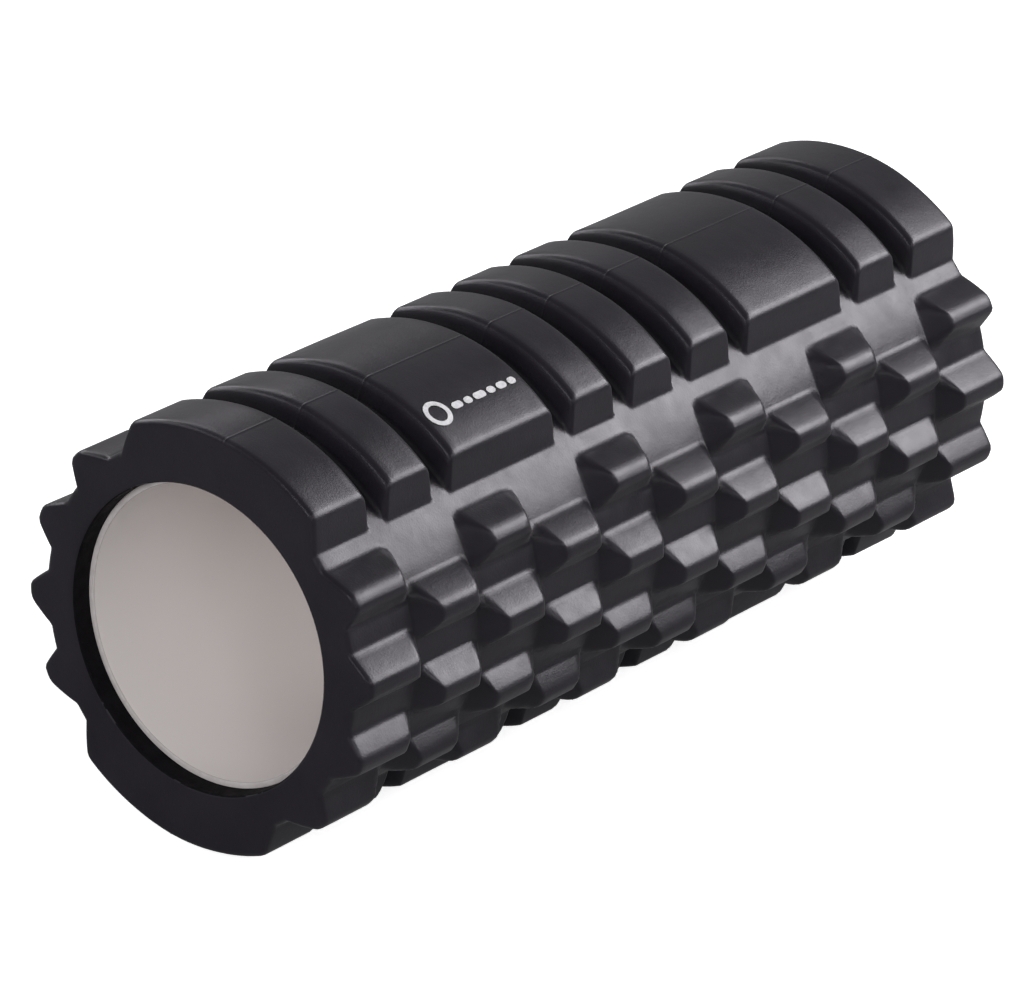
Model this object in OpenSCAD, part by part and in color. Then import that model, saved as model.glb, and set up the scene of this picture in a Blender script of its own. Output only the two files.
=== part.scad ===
// Textured foam roller: a moulded foam sleeve on a hollow core tube.
// The roller lies along Y. The smooth rows of pads face up (+Z) and down (-Z), and the
// rows of nubs face +X and -X. The origin is the middle of the roller's axis.

/* [Sleeve] */
// Length of the foam sleeve
sleeve_len = 330; // [308:11:352]
// Diameter over the smooth pads
pad_d = 140; // [138:0.5:144]
// Diameter over the tips of the nubs
nub_d = 138; // [134:0.5:140]
// Diameter at the floor of the grooves
floor_d = 123.4; // [120:0.2:126]

/* [Pads] */
// Length of each pad along the roller, in units of one eleventh of the sleeve
pad_units = [1, 1, 2, 1, 1, 1, 2, 1, 1];
// Half of the arc that a pad covers at the groove floor, in degrees
pad_foot_arc = 39.2; // [36:0.2:41]
// Half of the arc that a pad covers at its top, in degrees
pad_top_arc = 31.5; // [28:0.5:34]
// Width of the groove between two pads, at its floor
groove_w = 6.8; // [5:0.2:9]
// How far each side of a pad leans in between the floor and the top
pad_lean = 2.2; // [0.5:0.1:3]
// Bevel along the pads' top edges
pad_bevel = 1.4; // [0.5:0.1:2]

/* [Nubs] */
// Angle between neighbouring nubs of one column, in degrees
nub_pitch = 23; // [22:0.2:24]
// Lean of the long sides of a nub that faces X, from its own centre line, in degrees
nub_flank = 44; // [40:1:45]
// Extra lean of the side towards the pads, for each degree that the nub is turned from X
flank_out = 0.32; // [0:0.02:0.34]
// Lean lost by the side away from the pads, for each degree that the nub is turned from X
flank_in = 0.29; // [0:0.01:0.3]
// Radius of the rounded ridge of a nub
nub_ridge_r = 4; // [3:0.5:5]
// Length of the ridge along the roller
nub_ridge_len = 17.4; // [14:0.2:22]

/* [Core tube] */
// Outer diameter of the core tube
tube_d = 100; // [90:1:104]
// Wall of the core tube
tube_wall = 2; // [1.5:0.1:4]
// How far the tube ends sit inside the ends of the sleeve
tube_recess = 7; // [3:0.5:12]

/* [Printed mark] */
// Thickness of the printed ink
ink = 0.15; // [0.1:0.05:0.3]
// Outer diameter of the printed ring
ring_d = 10; // [8:0.5:12]
// Height of the printed bars
bar_h = 2.6; // [2:0.2:3.2]
// Distance of the mark's outer edge from the middle of the roller
mark_start = 97; // [95:0.5:98]
// How far the mark sits from the middle of the pad row, in degrees
mark_turn = 20; // [10:1:21]

/* [Hidden] */
$fn = 96;

unit = sleeve_len / 11;
pad_r = pad_d / 2;
nub_r = nub_d / 2;
floor_r = floor_d / 2;
tube_r = tube_d / 2;
root_r = floor_r - 3;        // raised shapes start this far down, inside the foam
past_end = 5;                // end shapes run this far past the sleeve, then are cut flush
past_cut = 1;                // cutting shapes run this far past what they cut
past_top = 2;                // the wedge round a row of pads runs this far past their tops
wedge_low = 6;               // and this far below the groove floor
nub_slope = (unit - nub_ridge_len) / 2;
odd_units = [for (i = [-5 : 2 : 5]) i];
even_units = [for (i = [-4 : 2 : 4]) i];
four_nubs = [for (k = [-1.5 : 1 : 1.5]) k * nub_pitch];
three_nubs = [for (k = [-1 : 1 : 1]) k * nub_pitch];
bars = [4.6, 3.4, 5.4, 3.4, 4.2, 3.4];  // lengths of the printed bars
bar_gap = 1.2;
ring_gap = 2;                // between the ring and the first bar
ring_line = 1.7;
mark_depth = 6;              // how far the mark's outline reaches in and out of the pad's top

function sum_to(list, n) = n <= 0 ? 0 : list[n - 1] + sum_to(list, n - 1);
function polar(r, a) = [r * cos(a), r * sin(a)];

// Turns a shape built along Z so that it lies along Y, with its own +Y up
module lay() { rotate([90, 0, 0]) children(); }

// The half outline of one pad, from the axis out, between lo and hi along the roller.
// lean_lo and lean_hi are 0 at an end that is flush with the end of the sleeve.
module pad_outline(lo, hi, lean_lo, lean_hi) {
    drop = (pad_r - root_r) / (pad_r - floor_r);
    polygon([
        [root_r, lo - lean_lo * (drop - 1)],
        [root_r, hi + lean_hi * (drop - 1)],
        [pad_r - pad_bevel, hi - lean_hi],
        [pad_r, hi - lean_hi - pad_bevel],
        [pad_r, lo + lean_lo + pad_bevel],
        [pad_r - pad_bevel, lo + lean_lo]
    ]);
}

// Every pad as a full ring
module pad_rings() {
    last = len(pad_units) - 1;
    for (i = [0 : last]) {
        lo = -sleeve_len / 2 + sum_to(pad_units, i) * unit + (i == 0 ? 0 : groove_w / 2);
        hi = -sleeve_len / 2 + sum_to(pad_units, i + 1) * unit - (i == last ? 0 : groove_w / 2);
        rotate_extrude()
            pad_outline(lo, hi, i == 0 ? 0 : pad_lean, i == last ? 0 : pad_lean);
    }
}

// The wedge that leaves one row of pads out of the rings, centred on the angle at
module pad_wedge(at) {
    foot = polar(floor_r, 90 - pad_foot_arc);
    top = polar(pad_r, 90 - pad_top_arc);
    lean = (top - foot) / (top[1] - foot[1]);
    low = foot - lean * wedge_low;
    high = top + lean * (pad_r + past_top - top[1]);
    rotate(at - 90)
        polygon([[low[0], low[1]], [high[0], high[1]], [-high[0], high[1]], [-low[0], low[1]]]);
}

// The outline of one nub across the roller. own is the nub's turn from the middle of its
// row, and row is the angle of that row. The sides lean the way the mould opens, along X.
module nub_outline(own, row) {
    mid = nub_r - nub_ridge_r;
    function lean(towards) =
        nub_flank + (own * towards > 0 ? flank_out : -flank_in) * abs(own);
    function foot(a) =
        nub_ridge_r * cos(a) + (mid + nub_ridge_r * sin(a) - root_r) * tan(a);
    from = lean(-1) - 90;
    to = 90 - lean(1);
    rotate(row + own)
        polygon(concat(
            [[root_r, -foot(lean(-1))]],
            [for (k = [0 : 6]) [mid, 0] + polar(nub_ridge_r, from + (to - from) * k / 6)],
            [[root_r, foot(lean(1))]]
        ));
}

// Ring with sloping ends that cuts the nubs of one column, u units from the middle
module nub_ring(u) {
    past = (nub_r - root_r) / (nub_r - floor_r);
    foot = unit / 2 + nub_slope * (past - 1);
    ridge = nub_ridge_len / 2;
    outer = unit / 2 + past_end;
    low = u == -5;
    high = u == 5;
    translate([0, 0, u * unit])
        rotate_extrude()
            polygon([
                [root_r, low ? -outer : -foot],
                [root_r, high ? outer : foot],
                [nub_r, high ? outer : ridge],
                [nub_r + past_cut, high ? outer : ridge],
                [nub_r + past_cut, low ? -outer : -ridge],
                [nub_r, low ? -outer : -ridge]
            ]);
}

module nub_columns(units, angles) {
    intersection() {
        union() for (u = units) nub_ring(u);
        linear_extrude(height = sleeve_len, center = true)
            for (row = [0, 180], own = angles) nub_outline(own, row);
    }
}

module foam_sleeve() {
    color([0.16, 0.15, 0.17])
        lay() difference() {
            union() {
                cylinder(r = floor_r, h = sleeve_len, center = true);
                intersection() {
                    pad_rings();
                    linear_extrude(height = sleeve_len, center = true)
                        for (at = [90, 270]) pad_wedge(at);
                }
                nub_columns(odd_units, four_nubs);
                nub_columns(even_units, three_nubs);
            }
            cylinder(r = tube_r, h = sleeve_len + 2 * past_cut, center = true);
        }
}

module core_tube() {
    color([0.68, 0.65, 0.63])
        lay() difference() {
            cylinder(r = tube_r, h = sleeve_len - 2 * tube_recess, center = true);
            cylinder(r = tube_r - tube_wall, h = sleeve_len, center = true);
        }
}

module ring_flat() {
    difference() {
        circle(d = ring_d);
        circle(d = ring_d - 2 * ring_line);
    }
}

module bar_flat(length) {
    straight = length - bar_h;
    square([max(straight, 0.01), bar_h], center = true);
    for (s = [-1, 1]) translate([s * straight / 2, 0]) circle(d = bar_h);
}

// The mark lies flat in X and Y here: its reading direction is +X
module mark_flat() {
    translate([ring_d / 2, 0]) ring_flat();
    for (i = [0 : len(bars) - 1])
        translate([ring_d + ring_gap + sum_to(bars, i) + i * bar_gap + bars[i] / 2, 0])
            bar_flat(bars[i]);
}

module print_mark() {
    color([0.88, 0.88, 0.88])
        intersection() {
            lay() difference() {
                cylinder(r = pad_r + ink, h = sleeve_len - 2 * past_cut, center = true);
                cylinder(r = pad_r, h = sleeve_len, center = true);
            }
            rotate([0, mark_turn, 0])
                translate([0, -mark_start, pad_r - mark_depth])
                    linear_extrude(height = 2 * mark_depth) rotate(90) mark_flat();
        }
}

foam_sleeve();
core_tube();
print_mark();
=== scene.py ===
"""Looks of a textured foam roller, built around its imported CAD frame.

The roller lies along Y. The rows of smooth pads face +Z and -Z, the rows of nubs +X and -X.
Shapes are worked out in millimetres and turned into metres when a mesh is made.
"""

import math

import bpy
import numpy as np
from mathutils import Matrix, Vector


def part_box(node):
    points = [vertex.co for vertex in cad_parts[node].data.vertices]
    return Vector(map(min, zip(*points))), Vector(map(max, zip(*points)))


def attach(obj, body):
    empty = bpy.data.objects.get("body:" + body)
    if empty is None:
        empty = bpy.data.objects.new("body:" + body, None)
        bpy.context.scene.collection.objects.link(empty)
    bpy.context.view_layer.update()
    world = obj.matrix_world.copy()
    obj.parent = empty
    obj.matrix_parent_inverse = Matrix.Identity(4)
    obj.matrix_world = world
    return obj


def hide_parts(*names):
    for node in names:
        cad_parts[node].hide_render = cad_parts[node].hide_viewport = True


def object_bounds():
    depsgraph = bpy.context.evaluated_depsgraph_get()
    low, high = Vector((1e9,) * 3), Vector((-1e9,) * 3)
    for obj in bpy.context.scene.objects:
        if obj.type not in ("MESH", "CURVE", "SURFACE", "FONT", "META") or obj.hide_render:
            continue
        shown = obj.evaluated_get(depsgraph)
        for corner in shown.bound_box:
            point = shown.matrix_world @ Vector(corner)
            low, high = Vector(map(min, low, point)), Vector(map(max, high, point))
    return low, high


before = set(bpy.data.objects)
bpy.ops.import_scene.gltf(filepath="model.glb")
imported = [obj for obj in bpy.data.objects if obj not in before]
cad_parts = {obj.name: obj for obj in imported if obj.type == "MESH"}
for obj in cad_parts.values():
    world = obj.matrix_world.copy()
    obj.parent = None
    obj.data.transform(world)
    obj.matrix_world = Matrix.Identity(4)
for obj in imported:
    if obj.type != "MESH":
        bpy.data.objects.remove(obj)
cad_lo, cad_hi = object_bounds()

MM = 0.001

# --- sizes, from the frame and in millimetres -------------------------------------------------
sleeve_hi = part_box("foam_sleeve")[1] / MM
tube_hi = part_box("core_tube")[1] / MM
HALF_LEN = sleeve_hi.y
PAD_R = sleeve_hi.z
NUB_R = sleeve_hi.x
BORE_R = tube_hi.x
TUBE_HALF = tube_hi.y

FLOOR_R = 61.7  # floor of the grooves
UNIT = 2 * HALF_LEN / 11
PAD_UNITS = (1, 1, 2, 1, 1, 1, 2, 1, 1)
GROOVE = 6.8
PAD_LEAN = 2.2
PAD_FOOT, PAD_TOP = 39.2, 31.5  # half arcs of a pad in degrees, at the floor and at the top
MID_R = (FLOOR_R + PAD_R) / 2  # arcs are turned into lengths at this radius
NUB_PITCH = 23.0
NUB_FOOT = 8.2  # arc in degrees from the middle of a nub to its foot, on a nub that faces X
FOOT_OUT, FOOT_IN = 0.074, 0.05  # how that arc grows and shrinks with the nub's turn from X
RIDGE_FLAT = 2.3  # from the middle of a nub to the top of its side
RIDGE_HALF = 8.7
NUB_LEAN = math.radians(NUB_FOOT) * MID_R - RIDGE_FLAT
WALL = 2.0
TUBE_GAP = 0.05  # between the tube and the sleeve's bore, so their faces don't coincide
PAST_END = 50.0  # the outer pads' far sides are put this far past the sleeve's ends
HIP = 3.6  # how sharp the hips and corners are, where two sides of a pad or nub meet
SEAM_HEIGHT, SEAM_WIDTH = 0.14, 0.3
SINK = 0.12  # the relief sits this far in on average, so its waves stay inside the real size
WAVE = 0.045  # height of each of the waves in the foam's unevenness
END_EDGE, BORE_EDGE = 2.0, 1.0  # rounding of the sleeve's ends, outside and at the bore


# --- the relief of the sleeve ---------------------------------------------------------------------
def side_rise(d, height, lean, crown, foot):
    """Height of a leaning side at distance d in from its foot, with round arcs at top and foot."""
    turn = math.atan2(height, lean)
    reach = crown * math.tan(turn / 2)
    toe = foot * math.tan(turn / 2)
    h = np.clip(d / lean, 0, 1) * height
    arc = np.sqrt(np.maximum(crown**2 - (d - lean - reach) ** 2, 0)) + height - crown
    h = np.where((d > lean - reach * math.cos(turn)) & (d < lean + reach), arc, h)
    arc = foot - np.sqrt(np.maximum(foot**2 - (d + toe) ** 2, 0))
    return np.where((d > -toe) & (d < toe * math.cos(turn)), arc, h)


def both(a, b, height):
    """Where two sides meet in a corner or a hip: the lower of the two, rounded off."""
    a, b = np.clip(1 - a / height, 0, 1), np.clip(1 - b / height, 0, 1)
    return height * np.maximum(1 - (a**HIP + b**HIP) ** (1 / HIP), 0)


def pad_spans():
    """The foot of each pad along the roller. The outer ends of the row have no side at all."""
    at, spans = -HALF_LEN, []
    for i, n in enumerate(PAD_UNITS):
        low = at + (GROOVE / 2 if i else -PAST_END)
        at += n * UNIT
        last = i == len(PAD_UNITS) - 1
        spans.append((low, at + (PAST_END if last else -GROOVE / 2)))
    return spans


def pads(theta, y):
    """Relief of the two rows of pads. theta in degrees, y in mm."""
    height = PAD_R - FLOOR_R
    away = np.minimum(abs(theta - 90), abs(theta - 270))
    lean = math.radians(PAD_FOOT - PAD_TOP) * MID_R
    ends = side_rise(np.radians(PAD_FOOT - away) * MID_R, height, lean, crown=3.6, foot=1.2)
    out = np.zeros_like(theta)
    for low, high in pad_spans():
        sides = side_rise(np.minimum(y - low, high - y), height, PAD_LEAN, crown=2.8, foot=0.5)
        out = np.maximum(out, both(ends, sides, height))
    return out


def nub_columns():
    """(middle along the roller, list of angles from the middle of the nub row) for each column."""
    four = [k * NUB_PITCH for k in (-1.5, -0.5, 0.5, 1.5)]
    three = [k * NUB_PITCH for k in (-1, 0, 1)]
    return [(u * UNIT, four if u % 2 else three) for u in range(-5, 6)]


def nubs(theta, y):
    """Relief of the two rows of nubs."""
    height = NUB_R - FLOOR_R
    out = np.zeros_like(theta)
    for middle, angles in nub_columns():
        reach = UNIT / 2 - abs(y - middle)
        if abs(middle) > HALF_LEN - UNIT:  # the end columns are cut flush with the sleeve's ends
            reach = np.where(abs(y) > abs(middle), UNIT / 2, reach)
        ends = side_rise(reach, height, UNIT / 2 - RIDGE_HALF, crown=2.6, foot=1.0)
        for angle in angles:
            for zone in (0, 180):
                off = (theta - zone - angle + 180) % 360 - 180
                foot = np.where(off * angle > 0, NUB_FOOT + FOOT_OUT * abs(angle),
                                NUB_FOOT - FOOT_IN * abs(angle))
                foot = np.radians(foot) * MID_R
                d = (foot - np.radians(abs(off)) * MID_R) / (foot - RIDGE_FLAT)
                sides = side_rise(d * NUB_LEAN, height, NUB_LEAN, crown=3.4, foot=1.0)
                out = np.maximum(out, both(ends, sides, height))
    return out


def seam(theta):
    """The fine raised line that the two halves of the mould leave down each row of pads."""
    across = np.radians(np.minimum(abs(theta - 90), abs(theta - 270))) * PAD_R
    return SEAM_HEIGHT * np.exp(-((across / SEAM_WIDTH) ** 2))


def softness(theta, y):
    """The slight unevenness of moulded foam, as three long waves."""
    t = np.radians(theta)
    waves = np.sin(3 * t + y / 23) + np.sin(7 * t - y / 15 + 1) + np.sin(13 * t + y / 9 + 2)
    return WAVE * waves


def outer_radius(theta, y):
    relief = np.maximum(pads(theta, y), nubs(theta, y))
    inward = np.minimum(softness(theta, y) - SINK, 0)
    return FLOOR_R + relief + inward + seam(theta)


# --- meshes ---------------------------------------------------------------------------------------
def filled(marks, gap, twin=0.3):
    """Sorted marks, with even steps of at most gap put in between. Marks nearer than twin merge."""
    kept = []
    for m in sorted(marks):
        if not kept or m - kept[-1] > twin:
            kept.append(m)
    out = []
    for a, b in zip(kept, kept[1:]):
        n = max(1, math.ceil((b - a) / gap - 1e-6))
        out += [a + (b - a) * k / n for k in range(n)]
    return out + [kept[-1]]


def rows_along():
    """Places along the roller where the outer surface has a row of points."""
    limit = HALF_LEN - END_EDGE
    marks = {-limit, limit}
    steps = (-0.8, -0.2, 0.4, 1.4, 1.9, 2.3, 2.8, 3.4, 4.3)
    for low, high in pad_spans():
        for s in steps:
            marks |= {low + s, high - s}
    for middle, _ in nub_columns():
        for s in (-0.6, 0.0, 0.6, 5.4, 6.2, 7.0):
            marks |= {middle - UNIT / 2 + s, middle + UNIT / 2 - s}
    return filled([m for m in marks if abs(m) <= limit], gap=2.5)


def angles_round():
    """Angles in degrees where the sleeve has a line of points. The first is not repeated."""
    marks = {0.0, 360.0}
    for zone in (90, 270):
        for side in (-1, 1):
            for s in (41, 40.2, 39.2, 38.2, 37, 35.8, 34.6, 33.4, 32.2, 31.2, 30.2, 29, 27.5):
                marks.add(zone + side * s)
            for across_seam in (0.0, 0.18, 0.36, 0.6, 1.0, 1.8):
                marks.add(zone + side * math.degrees(across_seam / PAD_R))
    fine = []
    marks = sorted(marks)
    for a, b in zip(marks, marks[1:]):
        on_pad = min(abs((a + b) / 2 - 90), abs((a + b) / 2 - 270)) < 30
        n = max(1, math.ceil((b - a) / (2.2 if on_pad else 1.0) - 1e-6))
        fine += [a + (b - a) * k / n for k in range(n)]
    return np.array(fine)


def grid_mesh(name, rings):
    """A closed mesh, its rings joined each to the next and the last to the first."""
    points = np.array(rings)
    n, m = points.shape[:2]
    i, j = np.meshgrid(np.arange(n), np.arange(m), indexing="ij")
    i2, j2 = (i + 1) % n, (j + 1) % m
    quads = np.stack([i * m + j, i * m + j2, i2 * m + j2, i2 * m + j], axis=-1).reshape(-1, 4)
    mesh = bpy.data.meshes.new(name)
    mesh.from_pydata((points.reshape(-1, 3) * MM).tolist(), [], quads.tolist())
    mesh.polygons.foreach_set("use_smooth", np.ones(len(quads), dtype=bool))
    mesh.update()
    piece = bpy.data.objects.new(name, mesh)
    bpy.context.scene.collection.objects.link(piece)
    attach(piece, "root")
    return piece


def ring(theta, radius, y):
    t = np.radians(theta)
    return np.stack([radius * np.cos(t), np.full_like(t, y), radius * np.sin(t)], axis=-1)


def rounded_end(theta, outer, side):
    """Rings over one end face of the sleeve, from the outer edge's arc to the bore's arc."""
    rings = []
    for k in range(1, 6):
        a = math.radians(18 * k)
        y = HALF_LEN - END_EDGE * (1 - math.sin(a))
        rings.append(ring(theta, outer - END_EDGE * (1 - math.cos(a)), side * y))
    for t in (0.2, 0.4, 0.6, 0.8):
        radius = (outer - END_EDGE) * (1 - t) + (BORE_R + BORE_EDGE) * t
        rings.append(ring(theta, radius, side * HALF_LEN))
    for k in range(6):
        a = math.radians(18 * k)
        y = HALF_LEN - BORE_EDGE * (1 - math.cos(a))
        rings.append(ring(theta, BORE_R + BORE_EDGE * (1 - math.sin(a)), side * y))
    return rings


def make_sleeve():
    """The moulded foam: a skinned outside, and a bore where the foam is cut."""
    theta = angles_round()
    outside = [(outer_radius(theta, np.full_like(theta, y)), y) for y in rows_along()]
    rings = [ring(theta, radius, y) for radius, y in outside]
    rings += rounded_end(theta, outside[-1][0], 1)
    rings += [ring(theta, BORE_R, y) for y in np.linspace(TUBE_HALF, -TUBE_HALF, 9)]
    rings += rounded_end(theta, outside[0][0], -1)[::-1]
    sleeve = grid_mesh("foam_sleeve_moulded", rings[::-1])
    for material in (foam_material(), bore_cut_foam_painted_shade_material()):
        sleeve.data.materials.append(material)
    # Faces in the bore take the second material, whose darker colour is painted shade in the recess.
    for face in sleeve.data.polygons:
        if math.hypot(face.center.x, face.center.z) < (BORE_R + 0.3 * BORE_EDGE) * MM:
            face.material_index = 1
    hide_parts("foam_sleeve")
    return sleeve


def make_tube():
    """The extruded core, with cut ends that are broken slightly."""
    theta = np.linspace(0, 360, 192, endpoint=False)
    inner, outer = BORE_R - WALL, BORE_R - TUBE_GAP
    inside_edge, outside_edge = 0.5, 0.3
    quarter = [math.radians(30 * k) for k in range(4)]
    end = [(inner + inside_edge * (1 - math.cos(a)), TUBE_HALF - inside_edge * (1 - math.sin(a)))
           for a in quarter]
    end += [(outer - outside_edge * (1 - math.sin(a)), TUBE_HALF - outside_edge * (1 - math.cos(a)))
            for a in quarter]
    middle = (100, 50, 0, -50, -100)
    outline = end + [(outer, y) for y in middle]
    outline += [(r, -y) for r, y in end[::-1]] + [(inner, -y) for y in middle]
    wobble = 0.06 * np.sin(2 * np.radians(theta) + 0.6)  # the bore isn't perfectly round
    rings = [ring(theta, r + (wobble if r < BORE_R - WALL / 2 else 0), y) for r, y in outline]
    tube = grid_mesh("core_tube_extruded", rings)
    for material in (tube_material(), sawn_end_painted_shade_material()):
        tube.data.materials.append(material)
    # The cut end's faces take the second material, whose darker colour is painted shade on the rim.
    for face in tube.data.polygons:
        if abs(face.center.y) > (TUBE_HALF - 0.8 * inside_edge) * MM:
            face.material_index = 1
    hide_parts("core_tube")
    return tube


# --- materials ------------------------------------------------------------------------------------
class Nodes:
    """Short calls for building one material."""

    def __init__(self, name):
        self.material = bpy.data.materials.new(name)
        self.material.use_nodes = True
        self.tree = self.material.node_tree
        self.shader = self.tree.nodes["Principled BSDF"]
        self.coords = self.add("ShaderNodeTexCoord")

    def add(self, kind, **values):
        node = self.tree.nodes.new(kind)
        for key, value in values.items():
            if key in node.inputs:
                node.inputs[key].default_value = value
            else:
                setattr(node, key, value)
        return node

    def link(self, source, target):
        self.tree.links.new(source, target)

    def noise(self, scale, detail=3.0, roughness=0.5, stretch=None):
        node = self.add("ShaderNodeTexNoise", Scale=scale, Detail=detail, Roughness=roughness)
        if stretch:
            mapping = self.add("ShaderNodeMapping", Scale=stretch)
            self.link(self.coords.outputs["Object"], mapping.inputs["Vector"])
            self.link(mapping.outputs["Vector"], node.inputs["Vector"])
        else:
            self.link(self.coords.outputs["Object"], node.inputs["Vector"])
        return node.outputs["Fac"]

    def ramp(self, source, low, high):
        """Turns a factor into a range of colours or of greys."""
        node = self.add("ShaderNodeValToRGB")
        for stop, place, shade in zip(node.color_ramp.elements, (0.3, 0.7), (low, high)):
            stop.position = place
            stop.color = (*shade, 1) if isinstance(shade, tuple) else (shade, shade, shade, 1)
        self.link(source, node.inputs["Fac"])
        return node.outputs["Color"]

    def bump(self, source, strength, distance, before=None):
        node = self.add("ShaderNodeBump", Strength=strength, Distance=distance)
        self.link(source, node.inputs["Height"])
        if before:
            self.link(before, node.inputs["Normal"])
        return node.outputs["Normal"]


def foam_material():
    """Moulded closed-cell EVA: black, satin, with a fine skin of pores and slight flow marks."""
    m = Nodes("eva_foam_black")
    colour = m.ramp(m.noise(45, 4), (0.0082, 0.0068, 0.0106), (0.0130, 0.0110, 0.0165))
    m.link(colour, m.shader.inputs["Base Color"])
    m.link(m.ramp(m.noise(120, 5, 0.6), 0.28, 0.38), m.shader.inputs["Roughness"])
    pores = m.add("ShaderNodeTexVoronoi", Scale=1500.0)
    m.link(m.coords.outputs["Object"], pores.inputs["Vector"])
    normal = m.bump(m.noise(160, 3), 0.15, 0.0006)
    normal = m.bump(m.noise(1300, 4, 0.6), 0.24, 0.00012, normal)
    normal = m.bump(pores.outputs["Distance"], 0.14, 0.00012, normal)
    m.link(normal, m.shader.inputs["Normal"])
    m.shader.inputs["Specular IOR Level"].default_value = 0.5
    m.shader.inputs["Sheen Weight"].default_value = 0.06
    m.shader.inputs["Sheen Roughness"].default_value = 0.5
    return m.material


def bore_cut_foam_painted_shade_material():
    """The sleeve's bore, cut through the foam: open cells and dull, with its colour made darker than
    the skin as painted shade for the recess around the tube.
    """
    m = Nodes("eva_foam_cut_painted_shade")
    # Painted shade: these greys are darker than the skin to stand for the shade in the bore's
    # recess.
    colour = m.ramp(m.noise(300, 4), (0.0030, 0.0026, 0.0036), (0.0055, 0.0048, 0.0064))
    m.link(colour, m.shader.inputs["Base Color"])
    m.link(m.ramp(m.noise(200, 3), 0.75, 0.9), m.shader.inputs["Roughness"])
    m.link(m.bump(m.noise(900, 4), 0.5, 0.0003), m.shader.inputs["Normal"])
    m.shader.inputs["Specular IOR Level"].default_value = 0.2
    return m.material


def tube_material():
    """Extruded plastic: warm light grey, semi-matt, with faint lines along its length."""
    m = Nodes("core_plastic_grey")
    colour = m.ramp(m.noise(9, 3), (0.78, 0.735, 0.715), (0.83, 0.785, 0.765))
    m.link(colour, m.shader.inputs["Base Color"])
    m.link(m.ramp(m.noise(60, 4), 0.42, 0.52), m.shader.inputs["Roughness"])
    lines = m.noise(900, 2, 0.5, stretch=(1, 0.01, 1))
    normal = m.bump(lines, 0.12, 0.0001)
    normal = m.bump(m.noise(500, 3), 0.08, 0.0001, normal)
    m.link(normal, m.shader.inputs["Normal"])
    return m.material


def sawn_end_painted_shade_material():
    """The sawn end of the tube: the same plastic, rougher, and a little darker in colour as painted
    shade, so the thin rim doesn't show as a lit line.
    """
    m = Nodes("core_plastic_sawn_painted_shade")
    # Painted shade: darker greys than the tube's own, so the rim's lit face reads dim.
    colour = m.ramp(m.noise(250, 4), (0.44, 0.41, 0.40), (0.54, 0.51, 0.50))
    m.link(colour, m.shader.inputs["Base Color"])
    m.link(m.ramp(m.noise(400, 3), 0.6, 0.75), m.shader.inputs["Roughness"])
    m.link(m.bump(m.noise(1100, 3), 0.4, 0.0002), m.shader.inputs["Normal"])
    return m.material


def ink_material():
    """Pad print: matt white, slightly thin in places."""
    m = Nodes("print_white")
    colour = m.ramp(m.noise(700, 3), (0.62, 0.62, 0.63), (0.80, 0.80, 0.80))
    m.link(colour, m.shader.inputs["Base Color"])
    m.link(m.ramp(m.noise(300, 2), 0.5, 0.62), m.shader.inputs["Roughness"])
    m.link(m.bump(m.noise(1300, 3), 0.2, 0.0001), m.shader.inputs["Normal"])
    return m.material


def floor_material():
    """White to look at, and darker in what it sends back on the foam, like a cut-out studio shot.
    Its underside is clear, so the roller can be looked at from below."""
    m = Nodes("floor_white")
    colour = m.ramp(m.noise(1.5, 2), (0.90, 0.90, 0.90), (0.92, 0.92, 0.92))
    m.link(colour, m.shader.inputs["Base Color"])
    m.shader.inputs["Roughness"].default_value = 0.9
    m.shader.inputs["Emission Color"].default_value = (1, 1, 1, 1)
    m.shader.inputs["Emission Strength"].default_value = 0.75
    dim = m.add("ShaderNodeBsdfDiffuse", Color=(0.25, 0.25, 0.25, 1))
    seen, mix = m.add("ShaderNodeLightPath"), m.add("ShaderNodeMixShader")
    m.link(seen.outputs["Is Camera Ray"], mix.inputs["Fac"])
    m.link(dim.outputs["BSDF"], mix.inputs[1])
    m.link(m.shader.outputs["BSDF"], mix.inputs[2])
    below, clear = m.add("ShaderNodeNewGeometry"), m.add("ShaderNodeBsdfTransparent")
    sided = m.add("ShaderNodeMixShader")
    m.link(below.outputs["Backfacing"], sided.inputs["Fac"])
    m.link(mix.outputs["Shader"], sided.inputs[1])
    m.link(clear.outputs["BSDF"], sided.inputs[2])
    m.link(sided.outputs["Shader"], m.tree.nodes["Material Output"].inputs["Surface"])
    return m.material


# --- the pieces -----------------------------------------------------------------------------------
make_sleeve()
make_tube()
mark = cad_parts["print_mark"]
for slot in mark.material_slots:
    slot.material = ink_material()


# --- floor, light and camera ----------------------------------------------------------------------
def make_floor():
    size = 6.0
    mesh = bpy.data.meshes.new("floor")
    corners = [(x * size, y * size, cad_lo.z) for x, y in ((-1, -1), (1, -1), (1, 1), (-1, 1))]
    mesh.from_pydata(corners, [], [(0, 1, 2, 3)])
    floor = bpy.data.objects.new("floor", mesh)
    bpy.context.scene.collection.objects.link(floor)
    mesh.materials.append(floor_material())


def softbox(name, place, size, power, colour=(1, 1, 1), mirrored=True):
    """A rectangular area light at place, in metres, that looks at the middle of the roller."""
    light = bpy.data.lights.new(name, "AREA")
    light.shape, light.size, light.size_y = "RECTANGLE", *size
    light.energy, light.color = power, colour
    lamp = bpy.data.objects.new(name, light)
    lamp.location = place
    lamp.rotation_euler = (-Vector(place)).to_track_quat("-Z", "Y").to_euler()
    lamp.visible_glossy = mirrored
    bpy.context.scene.collection.objects.link(lamp)


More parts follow.
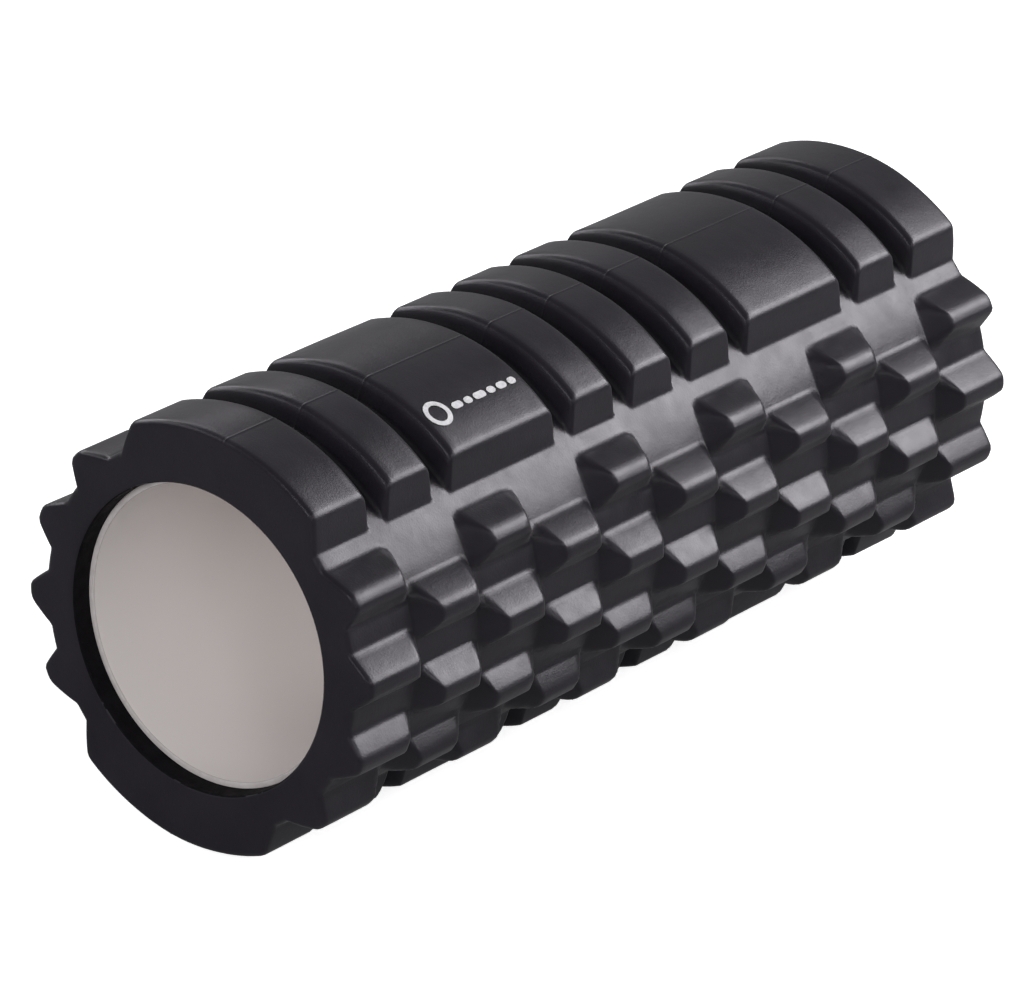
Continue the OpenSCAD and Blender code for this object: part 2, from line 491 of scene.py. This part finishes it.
def make_camera():
    """The photograph's view: a long lens, from the front right and above, with the roller turned
    a little about its own axis."""
    azimuth, elevation, turn = math.radians(38.63), math.radians(22.10), math.radians(10.4)
    distance, shift_right, shift_up = 2.2255, -0.00628, -0.00569
    back = Vector((math.sin(azimuth) * math.cos(elevation), -math.cos(azimuth) * math.cos(elevation),
                   math.sin(elevation)))
    right = Vector((math.cos(azimuth), math.sin(azimuth), 0))
    up = back.cross(right)
    place = back * distance + right * shift_right + up * shift_up
    basis = Matrix((right, up, back)).transposed().to_4x4()
    roll = Matrix.Rotation(-turn, 4, "Y")
    camera = bpy.data.cameras.new("camera")
    camera.sensor_width, camera.lens = 36.0, 242.6
    camera.clip_end = 50
    eye = bpy.data.objects.new("camera", camera)
    eye.matrix_world = roll @ Matrix.Translation(place) @ basis
    bpy.context.scene.collection.objects.link(eye)
    bpy.context.scene.camera = eye


def make_world():
    """White where the camera sees it, and dim as a light."""
    world = bpy.data.worlds.new("studio")
    world.use_nodes = True
    nodes, links = world.node_tree.nodes, world.node_tree.links
    light, white = nodes["Background"], nodes.new("ShaderNodeBackground")
    light.inputs["Color"].default_value = white.inputs["Color"].default_value = (1, 1, 1, 1)
    light.inputs["Strength"].default_value = 0.13
    seen, mix = nodes.new("ShaderNodeLightPath"), nodes.new("ShaderNodeMixShader")
    links.new(seen.outputs["Is Camera Ray"], mix.inputs["Fac"])
    links.new(light.outputs["Background"], mix.inputs[1])
    links.new(white.outputs["Background"], mix.inputs[2])
    links.new(mix.outputs["Shader"], nodes["World Output"].inputs["Surface"])
    bpy.context.scene.world = world


make_floor()
make_camera()
make_world()
bpy.context.scene.view_settings.view_transform = "Standard"
COOL = (0.97, 0.94, 1.0)
softbox("key_behind", (0.80, 1.15, 0.85), (0.9, 0.7), 14, COOL)
softbox("top_behind", (0.38, 1.20, 1.00), (0.7, 0.7), 5, COOL)
softbox("front_strip", (0.22, -1.78, 0.98), (0.6, 0.2), 2.6, COOL)
softbox("front_kicker", (1.35, -1.15, 1.15), (0.4, 0.3), 1.1, COOL)
softbox("right_top", (1.45, 0.05, 1.25), (0.8, 0.4), 2.5, COOL)
softbox("left_top", (-1.50, 0.80, 0.90), (1.0, 0.5), 2.8, COOL)
softbox("left_low", (-1.65, 0.05, 0.60), (1.2, 0.4), 6, COOL)
softbox("left_front", (-1.20, -0.95, 0.75), (0.6, 0.6), 2, COOL)
softbox("front_fill", (1.15, -1.45, 0.75), (0.9, 0.9), 8.5, mirrored=False)
softbox("axis_fill", (0.20, -2.3, 0.62), (0.6, 0.5), 19, mirrored=False)
softbox("axis_behind", (0.22, 2.3, 0.62), (0.6, 0.5), 22, mirrored=False)
